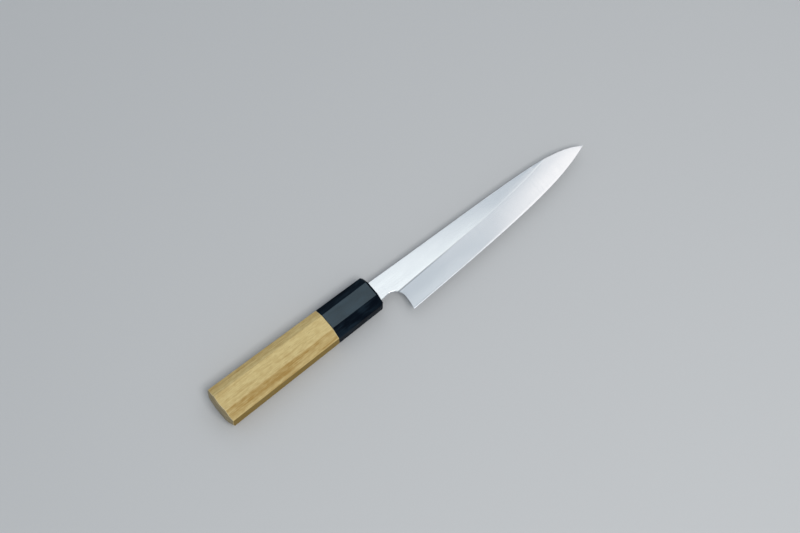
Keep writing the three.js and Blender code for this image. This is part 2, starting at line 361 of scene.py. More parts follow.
class NodeSheet(NodeTree):
    """The node tree of a material, with patterns measured in millimetres from one point."""

    def __init__(self, name: str, centre: Vector) -> None:
        """Starts a material.

        Args:
            name: Name of the material.
            centre: Point of the frame that the patterns are centred on, in metres.
        """
        self.material = bpy.data.materials.new(name)
        self.material.use_nodes = True
        super().__init__(self.material.node_tree)
        self.centre = centre
        self.shader = self.add("ShaderNodeBsdfPrincipled")
        self.add("ShaderNodeOutputMaterial", {"Surface": self.shader.outputs["BSDF"]})

    def feed(self, name: str, value: Feed) -> None:
        """Links one of the shader's own sockets to a source, or sets it to a constant."""
        self.give(self.shader.inputs[name], value)

    def place(self, stretch: Triple, turn: Triple = ORIGIN, start: Triple = ORIGIN) -> Socket:
        """Gives a place on the piece in millimetres, stretched for a pattern.

        Args:
            stretch: Pattern units per millimetre along each axis.
            turn: Turn of the pattern in radians.
            start: Where the pattern is centred, in millimetres from the sheet's own centre.

        Returns:
            The vector to feed to a texture.
        """
        vector = self.add("ShaderNodeTexCoord").outputs["Object"]
        shift = -(self.centre + Vector(start) * MM) / MM
        to_millimetres = {"Location": shift, "Scale": (1 / MM, 1 / MM, 1 / MM)}
        for step in (to_millimetres, {"Scale": stretch, "Rotation": turn}):
            vector = self.add("ShaderNodeMapping", {"Vector": vector, **step}).outputs["Vector"]
        return vector

    def noise(self, mottle: Mottle) -> Socket:
        """Returns a cloudy pattern, from 0 to 1."""
        layers = {"Scale": 1.0, "Detail": mottle.detail, "Roughness": mottle.roughness}
        return self.add("ShaderNodeTexNoise", {"Vector": self.place(mottle.cells), **layers}).outputs["Fac"]

    def combine(self, way: Combine, *patterns: Socket) -> Socket:
        """Puts patterns together, two at a time.

        Args:
            way: How they are put together.
            *patterns: Patterns in order.

        Returns:
            The combined pattern.
        """
        result = patterns[0]
        for pattern in patterns[1:]:
            node = self.add("ShaderNodeMath", {0: result, 1: pattern}, operation=way.value)
            result = node.outputs["Value"]
        return result

    def fades(self, way: Combine, *pairs: tuple[Socket, Fade]) -> Socket:
        """Returns patterns that are each mapped by a fade and then put together."""
        return self.combine(way, *(self.ramp(value, fade) for value, fade in pairs))

    def facing(self, axis: str) -> Socket:
        """Returns how far the surface faces along X, Y or Z, from -1 to 1."""
        return self.part(self.add("ShaderNodeTexCoord").outputs["Normal"], axis)

    def mix(self, share: Socket, first: Colour, second: Colour) -> Socket:
        """Returns a colour that runs from a first to a second by a pattern."""
        feeds = dict(zip(("Factor", *MIX_COLOURS), (share, first, second)))
        return self.add("ShaderNodeMix", feeds, data_type="RGBA").outputs[MIX_COLOUR_RESULT]

    def bump(self, height: Socket, relief: Point) -> None:
        """Raises the surface by a pattern, with its depth in millimetres and the share of it that shows."""
        feeds = {"Height": height, "Distance": relief[0] * MM, "Strength": relief[1]}
        self.feed("Normal", self.add("ShaderNodeBump", feeds).outputs["Normal"])


class Finish(ABC):
    """A surface finish, painted on a node sheet of its own."""

    name: str

    @abstractmethod
    def paint(self, sheet: NodeSheet) -> None:
        """Fills the node sheet of the finish."""

    def material(self, centre: Vector) -> bpy.types.Material:
        """Makes the finish.

        Args:
            centre: Point of the frame that the patterns are centred on.

        Returns:
            The material.
        """
        sheet = NodeSheet(self.name, centre)
        self.paint(sheet)
        return sheet.material


@dataclass(frozen=True)
class GroundSteel(Finish):
    """Ground steel with a lengthwise polish on the flats, stoned across the bevels, and a painted ridge
    highlight.

    Painted shade darkens a narrow band under the ridge near the heel. The sides of what runs along the ridge
    are measured up from it in bevel widths.
    """

    name: str = "ground_steel"
    flat_colour: Triple = (0.84, 0.865, 0.89)
    bevel_colour: Triple = (0.79, 0.818, 0.846)
    # A paler colour along the ridge, as a painted highlight.
    ridge_highlighted: Triple = (0.92, 0.94, 0.955)
    # A darker colour under the ridge near the heel, as painted shade.
    ridge_shade: Triple = (0.5, 0.52, 0.54)
    onto_flat: Point = (-0.03, 0.03)
    ridge_highlight_sides: tuple[Point, Point] = ((-0.03, 0.0), (0.1, 0.0))
    ridge_shade_sides: tuple[Point, Point] = ((-0.065, -0.022), (0.042, 0.005))
    ridge_shade_run: Fade = Fade((0.44, 0.66), (1.0, 0.0))
    roughness: Fade = Fade((0.0, 1.0), (0.18, 0.15))
    line_scatter: Fade = Fade(MIDDLING, (-0.03, 0.03))
    haze_scatter: Fade = Fade(MIDDLING, (-0.015, 0.015))
    haze: Mottle = Mottle((0.025, 0.12, 0.12), detail=3.0)
    line_length: float = 18.0
    line_width: float = 0.14
    line_roughness: float = 0.6
    line_relief: Point = (0.003, 0.5)

    @staticmethod
    def by_ridge(sheet: NodeSheet, up: Socket, *sides: Point) -> Socket:
        """Returns a pattern along the ridge, by the height on the grind map and the pattern's sides."""
        spans = (tuple(RIDGE_SHARE * (1 + rise) for rise in side) for side in sides)
        return sheet.fades(Combine.PRODUCT, *((up, Fade(span)) for span in spans))

    def paint(self, sheet: NodeSheet) -> None:
        """Sets the two grinds and their ridge by the blade's grind map.

        Args:
            sheet: Node tree to fill.
        """
        grind = sheet.add("ShaderNodeUVMap", uv_map=GRIND_MAP).outputs["UV"]
        up = sheet.part(grind, "Y")
        on_flat = self.by_ridge(sheet, up, self.onto_flat)
        # Painted highlight along the ridge.
        ridge_highlight = self.by_ridge(sheet, up, *self.ridge_highlight_sides)
        # Painted shade under the ridge, fading out away from the heel.
        under_ridge = self.by_ridge(sheet, up, *self.ridge_shade_sides)
        near_heel = sheet.ramp(sheet.part(grind, "X"), self.ridge_shade_run)
        line = sheet.combine(Combine.PRODUCT, under_ridge, near_heel)
        ground = sheet.mix(on_flat, self.bevel_colour, self.flat_colour)
        with_ridge_highlight = sheet.mix(ridge_highlight, ground, self.ridge_highlighted)
        sheet.feed("Base Color", sheet.mix(line, with_ridge_highlight, self.ridge_shade))
        fine, long = 1 / self.line_width, 1 / self.line_length
        lengthwise = sheet.noise(Mottle((long, fine, fine), roughness=self.line_roughness))
        crosswise = sheet.noise(Mottle((fine, long, long), roughness=self.line_roughness))
        feeds = {"Factor": on_flat, "A": crosswise, "B": lengthwise}
        lines = sheet.add("ShaderNodeMix", feeds, data_type="FLOAT").outputs["Result"]
        haze = (sheet.noise(self.haze), self.haze_scatter)
        dullness = ((on_flat, self.roughness), (lines, self.line_scatter), haze)
        sheet.feed("Roughness", sheet.fades(Combine.SUM, *dullness))
        sheet.bump(lines, self.line_relief)
        sheet.feed("Metallic", 1.0)


@dataclass(frozen=True)
class BlackHorn(Finish):
    """Black horn with faint slate streaks, buffed bright on the side flats and left dull on the bevels."""

    name: str = "black_horn"
    dark: Triple = (0.003, 0.005, 0.009)
    streak: Triple = (0.010, 0.018, 0.027)
    sheen_tint: Triple = (0.67, 0.875, 1.0)
    streaks: Mottle = Mottle((0.06, 1.6, 1.6), detail=6.0, roughness=0.6)
    clouds: Mottle = Mottle((0.1, 0.3, 0.3), detail=3.0)
    streak_tone: Fade = Fade((0.17, 0.36))
    gloss: Fade = Fade(MIDDLING, (0.1, 0.2))
    buffed_beyond: Point = (0.97, 0.995)
    sheens: Point = (0.005, 0.82)
    relief: Point = (0.004, 0.3)

    def paint(self, sheet: NodeSheet) -> None:
        """Sets the streaks, and the sheen by how far a face looks to either side.

        Args:
            sheet: Node tree to fill.
        """
        streaks = sheet.noise(self.streaks)
        broken = sheet.combine(Combine.PRODUCT, streaks, sheet.noise(self.clouds))
        sheet.feed("Base Color", sheet.mix(sheet.ramp(broken, self.streak_tone), self.dark, self.streak))
        sheet.feed("Roughness", sheet.ramp(streaks, self.gloss))
        outward = sheet.facing("Z")
        squared = sheet.combine(Combine.PRODUCT, outward, outward)
        limits = tuple(share ** 2 for share in self.buffed_beyond)
        sheet.feed("Specular IOR Level", sheet.ramp(squared, Fade(limits, self.sheens)))
        sheet.feed("Specular Tint", self.sheen_tint)
        sheet.bump(streaks, self.relief)


@dataclass(frozen=True)
class PaleWood(Finish):
    """Oiled pale hardwood with growth layers, fibres, flecks and open pores, and with painted shade.

    The painted shade is darker towards the spine, browner and streaky on the faces that look towards the
    cutting edge, and darkest on the face that looks straight that way. The shade towards the spine and the
    rim and run of the browner shade go by the place in millimetres, and what is named facing by the way a
    face looks.
    """

    name: str = "pale_wood"
    light: Triple = (0.65, 0.516, 0.24)
    dark: Triple = (0.335, 0.188, 0.036)
    pore: Triple = (0.25, 0.155, 0.055)
    # The underside colour is painted shade on the face that looks straight towards the cutting edge.
    underside: Triple = (0.245, 0.147, 0.014)
    end_light: Triple = (0.38, 0.305, 0.17)
    end_dark: Triple = (0.25, 0.2, 0.115)
    layer_pitch: float = 2.6
    layer_stretch: Triple = (0.03, 1.0, 1.0)
    layer_lean: Triple = (0.0, 0.02, 0.012)
    layer_waver: float = 1.4
    waver_detail: float = 2.0
    waver_scale: float = 0.25
    pith: Triple = (0.0, -3.0, -46.0)
    fibres: Mottle = Mottle((0.05, 1.4, 1.4), detail=6.0, roughness=0.6)
    clouds: Mottle = Mottle((0.014, 0.3, 0.3), roughness=0.6)
    flecks: Mottle = Mottle((0.22, 0.62, 0.62), detail=3.0)
    pores: Mottle = Mottle((0.2, 5.0, 5.0), detail=2.0)
    layer_tone: Fade = Fade((0.45, 1.0), (0.0, 0.18))
    fibre_tone: Fade = Fade((0.36, 0.72), (0.0, 0.3))
    cloud_tone: Fade = Fade((0.45, 0.75), (0.0, 0.24))
    fleck_tone: Fade = Fade((0.36, 0.64), (-0.11, 0.11))
    # Painted shade, darker towards the spine.
    spine_side_shade_tone: Fade = Fade((5.5, 12.0), (0.0, 0.3))
    # Browner, streaky painted shade on the faces that look towards the cutting edge.
    edge_side_shade_facing: Fade = Fade((-0.2, -0.6))
    edge_side_shade_rim: Fade = Fade((-12.4, -8.6), (0.45, 1.0))
    edge_side_shade_run: Fade = Fade((-42.0, -82.0), (0.45, 0.53))
    edge_side_shade_streaks: Fade = Fade((0.3, 0.62), (0.5, 1.0))
    underside_shade_facing: Fade = Fade((-0.85, -0.97), (0.0, 0.9))
    end_facing: Fade = Fade((-0.7, -0.85))
    open_pores: Fade = Fade((0.63, 0.74), (0.0, 0.6))
    gloss: Fade = Fade(MIDDLING, (0.48, 0.63))
    relief: Point = (0.05, 0.3)
    specular: float = 0.2

    def layers(self, sheet: NodeSheet) -> Socket:
        """Makes the growth layers, which run along the handle.

        Args:
            sheet: Node tree that takes the pattern.

        Returns:
            The pattern, from 0 to 1 in each layer.
        """
        feeds = {
            "Vector": sheet.place(self.layer_stretch, self.layer_lean, self.pith),
            "Scale": UNIT_RINGS / self.layer_pitch,
            "Distortion": self.layer_waver,
            "Detail": self.waver_detail,
            "Detail Scale": self.waver_scale,
        }
        rings = {"wave_type": "RINGS", "rings_direction": "X", "wave_profile": "SAW"}
        return sheet.add("ShaderNodeTexWave", feeds, **rings).outputs["Fac"]

    def paint(self, sheet: NodeSheet) -> None:
        """Sets the long grain, with its painted shade, and the end grain where the wood is cut across.

        Args:
            sheet: Node tree to fill.
        """
        layers = self.layers(sheet)
        fibres = sheet.noise(self.fibres)
        clouds = sheet.noise(self.clouds)
        place = sheet.place((1.0, 1.0, 1.0))
        along, across = sheet.part(place, "X"), sheet.part(place, "Y")
        spineward = sheet.facing("Y")
        # Browner, streaky painted shade on the faces that look towards the cutting edge.
        edge_side_shade = sheet.fades(
            Combine.PRODUCT, (spineward, self.edge_side_shade_facing), (across, self.edge_side_shade_rim),
            (along, self.edge_side_shade_run), (clouds, self.edge_side_shade_streaks))
        # The grain also takes the painted shade towards the spine.
        grain = sheet.fades(
            Combine.SUM, (layers, self.layer_tone), (fibres, self.fibre_tone), (clouds, self.cloud_tone),
            (sheet.noise(self.flecks), self.fleck_tone), (across, self.spine_side_shade_tone))
        lengthwise = sheet.mix(sheet.combine(Combine.SUM, grain, edge_side_shade), self.light, self.dark)
        # Painted shade on the face that looks straight towards the cutting edge.
        underside_shaded = sheet.mix(sheet.ramp(spineward, self.underside_shade_facing), lengthwise, self.underside)
        open_pores = sheet.ramp(sheet.noise(self.pores), self.open_pores)
        long_grain = sheet.mix(open_pores, underside_shaded, self.pore)
        end_grain = sheet.mix(layers, self.end_light, self.end_dark)
        cut_across = sheet.ramp(sheet.facing("X"), self.end_facing)
        sheet.feed("Base Color", sheet.mix(cut_across, long_grain, end_grain))
        sheet.feed("Roughness", sheet.ramp(fibres, self.gloss))
        sheet.feed("Specular IOR Level", self.specular)
        sheet.bump(sheet.combine(Combine.DIFFERENCE, fibres, open_pores), self.relief)


@dataclass(frozen=True)
class AmberResin(Finish):
    """Hard amber glue with small bubbles."""

    name: str = "amber_resin"
    clear: Triple = (0.36, 0.24, 0.08)
    cloudy: Triple = (0.52, 0.4, 0.19)
    bubbles: Mottle = Mottle((1.5, 1.5, 1.5), detail=3.0)
    bubble_tone: Fade = Fade((0.45, 0.7))
    gloss: Fade = Fade((0.4, 0.7), (0.25, 0.45))
    relief: Point = (0.05, 0.3)

    def paint(self, sheet: NodeSheet) -> None:
        """Clouds the resin with its bubbles.

        Args:
            sheet: Node tree to fill.
        """
        bubbles = sheet.noise(self.bubbles)
        sheet.feed("Base Color", sheet.mix(sheet.ramp(bubbles, self.bubble_tone), self.clear, self.cloudy))
        sheet.feed("Roughness", sheet.ramp(bubbles, self.gloss))
        sheet.bump(bubbles, self.relief)


@dataclass(frozen=True)
class PaleFloor(Finish):
    """Plain pale paper with a barely visible tooth."""

    name: str = "pale_floor"
    colour: Triple = (0.55, 0.555, 0.56)
    fleck: Triple = (0.53, 0.535, 0.54)
    tooth: Mottle = Mottle((0.8, 0.8, 0.8), roughness=0.6)
    relief: Point = (0.05, 0.1)
    roughness: float = 0.9
    specular: float = 0.1

    def paint(self, sheet: NodeSheet) -> None:
        """Sets the tooth of the paper.

        Args:
            sheet: Node tree to fill.
        """
        tooth = sheet.noise(self.tooth)
        sheet.feed("Base Color", sheet.mix(tooth, self.colour, self.fleck))
        sheet.feed("Roughness", self.roughness)
        sheet.feed("Specular IOR Level", self.specular)
        sheet.bump(tooth, self.relief)


class SubAssembly(ABC):
    """A piece of the knife that is modelled anew, with one finish unless it says otherwise."""

    finish: Finish

    @abstractmethod
    def build(self) -> Piece:
        """Models the piece in the knife's own axes."""

    def dress(self, piece: Piece, centre: Vector) -> None:
        """Gives a piece in the frame its finish, with patterns centred on a point."""
        piece.data.materials.append(self.finish.material(centre))
        smooth(piece)


@dataclass(frozen=True)
class Section:
    """Sizes of the handle's eight-sided section at one place."""

    height: float
    thickness: float
    side_flat: float
    top_flat: float


@dataclass
class Handle:
    """The tapered eight-sided form that ferrule and grip share, and the joint inside it."""

    ferrule_length: float = 34.7
    grip_length: float = 81.6
    fit_gap: float = 0.3
    front: Section = Section(height=21.8, thickness=17.8, side_flat=10.4, top_flat=8.0)
    butt: Section = Section(height=24.9, thickness=18.9, side_flat=11.0, top_flat=10.2)
    bore_radius: float = 7.5
    slot_height: float = 9.4
    slot_thickness: float = 2.3

    @property
    def butt_x(self) -> float:
        """Place of the handle's rear end."""
        return -self.ferrule_length - self.fit_gap - self.grip_length

    def section(self, x: float) -> Section:
        """Returns the section at one place along the handle."""
        ends = zip(astuple(self.front), astuple(self.butt))
        return Section(*(blend(front, butt, x / self.butt_x) for front, butt in ends))

    def stretch_ring(self, piece: Piece, x: float) -> None:
        """Draws the corners of one ring of an open block out to the handle's section.

        Args:
            piece: Block in edit mode, with a regular ring of radius 1.
            x: Place of the ring.
        """
        ring = self.section(x)
        wide = 2 * math.cos(math.pi / HANDLE_SIDES)
        narrow = 2 * math.sin(math.pi / HANDLE_SIDES)
        side = (1, ring.side_flat / narrow, ring.thickness / wide)
        top = (1, ring.height / wide, ring.top_flat / narrow)
        for on_side, size in ((True, side), (False, top)):
            pick(piece, Pick.VERTS, lambda corner: abs(corner.co.x - x) < MERGE_DISTANCE
                 and (abs(corner.co.z) > abs(corner.co.y)) is on_side)
            bpy.ops.transform.resize(value=size, center_override=(x, 0, 0))

    def octagon(self, name: str, rear_x: float, front_x: float) -> Piece:
        """Makes a block of the handle's form.

        Args:
            name: Name for the object.
            rear_x: Where the block starts.
            front_x: Where the block ends.

        Returns:
            The new block.
        """
        piece = bar(name, rear_x, front_x, 1, HANDLE_SIDES)
        with editing(piece):
            bpy.ops.mesh.select_all(action="SELECT")
            half_side = math.pi / HANDLE_SIDES
            bpy.ops.transform.rotate(value=half_side, orient_axis="X", center_override=ORIGIN)
            for x in (rear_x, front_x):
                self.stretch_ring(piece, x)
        return piece


@dataclass
class Ferrule(SubAssembly):
    """The black block between blade and wood, with its tang slot and blind bore."""

    handle: Handle
    front_wall: float = 8.0
    front_chamfer: float = 1.2
    edge_break: float = 0.2
    finish: BlackHorn = BlackHorn()

    def build(self) -> Piece:
        """Models the ferrule.

        Returns:
            The ferrule in the knife's own axes.
        """
        handle = self.handle
        rear_x = -handle.ferrule_length
        piece = handle.octagon("horn_ferrule", rear_x, -self.front_chamfer)
        shoulder, drawn_in = handle.section(-self.front_chamfer), 2 * self.front_chamfer
        height, thickness = handle.front.height - drawn_in, handle.front.thickness - drawn_in
        with editing(piece):
            pick(piece, Pick.FACES, lambda face: face.normal.x > FACES_FORWARD)
            push_out((self.front_chamfer, 0, 0))
            narrower = (1, height / shoulder.height, thickness / shoulder.thickness)
            bpy.ops.transform.resize(value=narrower, center_override=ORIGIN)
        break_edges(piece, self.edge_break)
        bore = bar("bore", rear_x - OVERRUN, -self.front_wall, handle.bore_radius, BORE_SIDES)
        cut_with(piece, bore, Cut.TAKE_AWAY)
        bpy.ops.mesh.primitive_cube_add(size=1, location=(rear_x / 2, 0, 0))
        slot_length = 2 * OVERRUN - rear_x
        bpy.context.active_object.scale = (slot_length, handle.slot_height, handle.slot_thickness)
        cut_with(piece, take_new("slot"), Cut.TAKE_AWAY)
        return piece


@dataclass
class Grip(SubAssembly):
    """The wooden handle, bored from the front, with the corners of its butt eased by a turned chamfer."""

    handle: Handle
    bore_end_x: float = -100.9
    butt_chamfer_length: float = 2.0
    butt_chamfer_inset: float = 2.4
    turned_sides: int = 128
    glue_line: float = 0.06
    edge_break: float = 0.35
    rim_highlight_leans: Point = (0.3, 0.8)
    finish: PaleWood = PaleWood()
    # The rim finish is paler, as a painted highlight.
    rim_highlight_finish: PaleWood = PaleWood(
        "pale_wood_rim_highlight", light=(0.74, 0.64, 0.38), dark=(0.55, 0.42, 0.2),
        gloss=Fade(MIDDLING, (0.38, 0.53)))

    def envelope(self) -> Piece:
        """Models the turned oval cone that eases the butt.

        Returns:
            A solid that reaches from the butt past the front of the grip.
        """
        handle = self.handle
        land = 1 - self.butt_chamfer_inset / (handle.butt.thickness / 2)
        side_corner = math.hypot(1, handle.butt.side_flat / handle.butt.height)
        top_corner = math.hypot(1, handle.butt.top_flat / handle.butt.thickness)
        clear = land + 2 * (max(side_corner, top_corner) - land)
        depth = 2 * self.butt_chamfer_length
        bpy.ops.mesh.primitive_cone_add(
            vertices=self.turned_sides, radius1=land, radius2=clear, depth=depth,
            location=(handle.butt_x + depth / 2, 0, 0), rotation=ALONG_HANDLE)
        solid = take_new("butt_envelope")
        with editing(solid):
            bpy.ops.mesh.select_all(action="SELECT")
            oval = (1, handle.butt.height / 2, handle.butt.thickness / 2)
            bpy.ops.transform.resize(value=oval, center_override=ORIGIN)
            pick(solid, Pick.FACES, lambda face: face.normal.x > FACES_FORWARD)
            push_out((handle.grip_length, 0, 0))
        return solid

    def build(self) -> Piece:
        """Models the grip.

        Returns:
            The grip in the knife's own axes.
        """
        handle = self.handle
        front_x = -handle.ferrule_length - self.glue_line
        piece = handle.octagon("wood_grip", handle.butt_x, front_x)
        cut_with(piece, self.envelope(), Cut.KEEP_INSIDE)
        break_edges(piece, self.edge_break)
        bore = bar("bore", self.bore_end_x, OVERRUN, handle.bore_radius, BORE_SIDES)
        cut_with(piece, bore, Cut.TAKE_AWAY)
        return piece

    def dress(self, piece: Piece, centre: Vector) -> None:
        """Gives the grip its finish, paler and glossier on the rims of its two ends as a painted highlight.

        Args:
            piece: Grip in the frame.
            centre: Point of the frame that the patterns are centred on.
        """
        for finish in (self.finish, self.rim_highlight_finish):
            piece.data.materials.append(finish.material(centre))
        # The rims take the paler finish as a painted highlight.
        least, most = self.rim_highlight_leans
        with editing(piece):
            pick(piece, Pick.FACES, lambda face: least < abs(face.normal.x) < most)
            piece.active_material_index = 1
            bpy.ops.object.material_slot_assign()
        smooth(piece)


@dataclass(frozen=True)
class Sweep:
    """A cubic outline curve that only ever moves forward in x, with a slope and a reach at each end."""

    start: Point
    end: Point
    slopes: Point
    reaches: Point

    def at(self, share: float, axis: int) -> float:
        """Works out a point of the curve.

        Args:
            share: How far along the curve, from 0 to 1.
            axis: 0 for x and 1 for y.

        Returns:
            The point's place on that axis.
        """
        straight, turn = (reach * (self.end[0] - self.start[0]) for reach in self.reaches)
        leave = self.start[axis] + (straight, self.slopes[0] * straight)[axis]
        arrive = self.end[axis] - (turn, self.slopes[1] * turn)[axis]
        rest = 1 - share
        return (rest ** 3 * self.start[axis] + 3 * rest ** 2 * share * leave
                + 3 * rest * share ** 2 * arrive + share ** 3 * self.end[axis])

    def height(self, x: float) -> float:
        """Finds the height of the curve at one place, by halving.

        Args:
            x: Place along the curve.

        Returns:
            The height there.
        """
        low, high = 0.0, 1.0
        for _ in range(CURVE_HALVINGS):
            middle = (low + high) / 2
            if self.at(middle, 0) < x:
                low = middle
            else:
                high = middle
        return self.at((low + high) / 2, 1)


@dataclass(frozen=True)
class Grind:
    """The ground section of the blade at one place, with rises measured up from the cutting edge."""

    height: float
    flat: float
    bevel: float
    facet: float
    facet_slope: float
    bevel_slope: float
    hollow: float

    def half_at(self, rise: float) -> float:
        """Works out half the thickness at one rise.

        Args:
            rise: Height above the cutting edge.

        Returns:
            Half the thickness there.
        """
        past = rise - self.facet
        up = min(1.0, max(0.0, past / (self.bevel - self.facet)))
        ground = self.facet_slope * self.facet + self.bevel_slope * past
        return min(self.flat, ground - 4 * self.hollow * up * (1 - up))


@dataclass
class Blade(SubAssembly):
    """The forged and ground blade with its tang.

    Shares of the height keep small features in scale where the blade runs out at the tip.
    """

    edge_length: float = 150.0
    heel_setback: float = 12.7
    heel_depth: float = 23.8
    heel_lean: float = 1.17
    heel_steps: int = 12
    tip_drop: float = 6.86
    neck_rise: float = 6.34
    neck_fall: float = 7.3
    neck_underside_slope: float = 0.099
    choil_radius: float = 7.5
    choil_steps: int = 32
    choil_break: float = 0.15
    choil_break_share: float = 0.8
    choil_wall_lean: float = 0.2
    blade_side_lean: float = 0.9
    spine_slopes: Point = (-0.029, -0.69)
    spine_reaches: Point = (0.722, 0.111)
    edge_slopes: Point = (0.0473, 0.367)
    edge_reaches: Point = (0.625, 0.177)
    neck_thickness: float = 1.8
    tip_thickness: float = 0.9
    bevel_width: float = 14.4
    bevel_flare: float = 1.2
    bevel_flare_start: float = 84.0
    bevel_steps: int = 5
    bevel_hollows: Point = (0.12, -0.05)
    hollow_ends: Point = (50.0, 95.0)
    thickness_behind_edge: float = 0.25
    cutting_edge_angle: float = math.radians(30)
    facet_share: float = 0.2
    edge_band: float = 0.6
    edge_band_share: float = 0.4
    spine_round: float = 0.35
    spine_round_share: float = 0.12
    spine_round_steps: int = 2
    crest_round_share: float = 0.6
    ridge_blend: Point = (0.25, 2.6)
    ridge_ends: Point = (40.0, 130.0)
    ridge_blend_shares: Point = (0.02, 0.25)
    ridge_steps: int = 3
    shoulder_gap: float = 0.1
    tang_length: float = 93.0
    tang_root_height: float = 8.8
    tang_end_height: float = 5.2
    tang_point_length: float = 3.0
    tang_thickness: float = 1.7
    stations: int = 100
    crowding: float = 1.5
    finish: GroundSteel = GroundSteel()

    @property
    def tip_x(self) -> float:
        """Place of the tip along the blade."""
        return self.heel_setback + self.edge_length

    @property
    def spine(self) -> Sweep:
        """The spine, from the neck to the tip."""
        neck, tip = (0.0, self.neck_rise), (self.tip_x, -self.tip_drop)
        return Sweep(neck, tip, self.spine_slopes, self.spine_reaches)

    @property
    def cutting_edge(self) -> Sweep:
        """The cutting edge, from the heel to the tip."""
        heel, tip = (self.heel_setback, -self.heel_depth), (self.tip_x, -self.tip_drop)
        return Sweep(heel, tip, self.edge_slopes, self.edge_reaches)

    def edge_height(self, x: float) -> float:
        """Returns the height of the cutting edge, carried on straight behind the heel."""
        along = max(x, self.heel_setback)
        return self.cutting_edge.height(along) + self.edge_slopes[0] * (x - along)

    def bevel_height(self, x: float) -> float:
        """Returns how far the bevel reaches up from the cutting edge at one place."""
        flare = max(0.0, (x - self.bevel_flare_start) / (self.tip_x - self.bevel_flare_start))
        return self.bevel_width + self.bevel_flare * flare ** 2

    def grind(self, x: float) -> Grind:
        """Works out how the blade is ground at one place.

        Args:
            x: Place along the blade.

        Returns:
            The ground section.
        """
        height = max(self.spine.height(x) - self.edge_height(x), 0.0)
        flat = blend(self.neck_thickness, self.tip_thickness, x / self.tip_x) / 2
        bevel = self.bevel_height(x)
        shoulder = self.thickness_behind_edge / 2
        bevel_slope = (flat - shoulder) / bevel
        facet_slope = math.tan(self.cutting_edge_angle / 2)
        facet = min(shoulder / (facet_slope - bevel_slope), self.facet_share * height)
        hollow = blend(*self.bevel_hollows, ease(x, *self.hollow_ends))
        return Grind(height, flat, bevel, facet, facet_slope, bevel_slope, hollow)

    def section(self, x: float) -> list[Vector]:
        """Draws the ground section at one place, with a softened ridge and rounded spine.

        Args:
            x: Place along the blade.

        Returns:
            Points from the cutting edge up the left side, over the spine and down the right side.
        """
        grind = self.grind(x)
        height = grind.height
        top_round = min(self.spine_round, self.spine_round_share * height)
        ridge = min(grind.bevel, height - top_round)
        least, most = self.ridge_blend_shares
        room = max(least * height, height - top_round - ridge)
        soft = min(blend(*self.ridge_blend, ease(x, *self.ridge_ends)), most * ridge, room)
        start = min(grind.facet + self.edge_band, self.edge_band_share * height)
        rises = [grind.facet]
        for step in range(self.bevel_steps):
            rises.append(blend(start, ridge - soft, step / self.bevel_steps))
        profile = [(rise, grind.half_at(rise)) for rise in rises]
        halves = [grind.half_at(ridge + side * soft) for side in (-1, 0, 1)]
        for step in range(self.ridge_steps + 1):
            share = step / self.ridge_steps
            profile.append((ridge + soft * (2 * share - 1), bend(*halves, share)))
        crest = grind.half_at(height - top_round)
        side_round = min(top_round, self.crest_round_share * crest)
        for step in range(self.spine_round_steps + 1):
            turn = math.pi / 2 * step / self.spine_round_steps
            down, inward = top_round * (1 - math.sin(turn)), side_round * (1 - math.cos(turn))
            profile.append((height - down, crest - inward))
        left = [(rise, -half) for rise, half in profile]
        outline = [(0.0, 0.0), *left, (height, 0.0), *reversed(profile)]
        bottom = self.edge_height(x)
        return [Vector((x, bottom + rise, side)) for rise, side in outline]

    def blank(self) -> Piece:
        """Models the ground blade, from the shoulder to the tip, before the choil is cut.

        Returns:
            The blank.
        """
        sections = []
        for station in range(self.stations + 1):
            left = (1 - station / self.stations) ** self.crowding
            sections.append(self.section(blend(self.tip_x, self.shoulder_gap, left)))
        corners = len(sections[0])
        piece = bar("ground_blade", 0, self.stations, 1, corners)
        with editing(piece):
            pick(piece, Pick.EDGES,
                 lambda edge: abs(edge.verts[0].co.x - edge.verts[1].co.x) > MERGE_DISTANCE)
            bpy.ops.mesh.subdivide(number_cuts=self.stations - 1)
            mesh = bmesh.from_edit_mesh(piece.data)
            for vertex in mesh.verts:
                turn = math.atan2(vertex.co.z, vertex.co.y) + math.pi
                corner = round(turn / (2 * math.pi / corners)) % corners
                vertex.co = sections[round(vertex.co.x)][corner]
            bmesh.update_edit_mesh(piece.data)
            bpy.ops.mesh.select_all(action="SELECT")
            bpy.ops.mesh.remove_doubles(threshold=MERGE_DISTANCE)
            bpy.ops.mesh.dissolve_degenerate(threshold=MERGE_DISTANCE)
            bpy.ops.mesh.normals_make_consistent(inside=False)
        return piece

    def choil(self) -> Piece:
        """Models what is ground away under the neck and behind the heel.

        Returns:
            The cutter.
        """
        slope, radius = self.neck_underside_slope, self.choil_radius
        underside = math.atan(slope)
        hollow_x = self.heel_setback + self.heel_lean
        arc_x = hollow_x - radius
        arc_y = -self.neck_fall + slope * arc_x - radius / math.cos(underside)
        bend_y = (arc_y - self.heel_depth) / 2
        run_out = self.heel_lean * self.heel_depth / (self.heel_depth + bend_y)
        behind, below = -self.heel_setback, -2 * self.heel_depth
        outline = [(behind, -self.neck_fall + slope * behind)]
        for step in range(self.choil_steps + 1):
            turn = (math.pi / 2 + underside) * (1 - step / self.choil_steps)
            outline.append((arc_x + radius * math.cos(turn), arc_y + radius * math.sin(turn)))
        for step in range(1, self.heel_steps + 1):
            share = step / self.heel_steps
            x = bend(hollow_x, hollow_x, self.heel_setback, share)
            outline.append((x, bend(arc_y, bend_y, -self.heel_depth, share)))
        outline += [(self.heel_setback - run_out, below), (behind - run_out, below)]
        return plate("choil_cutter", outline[::-1], self.neck_thickness + 2 * OVERRUN)

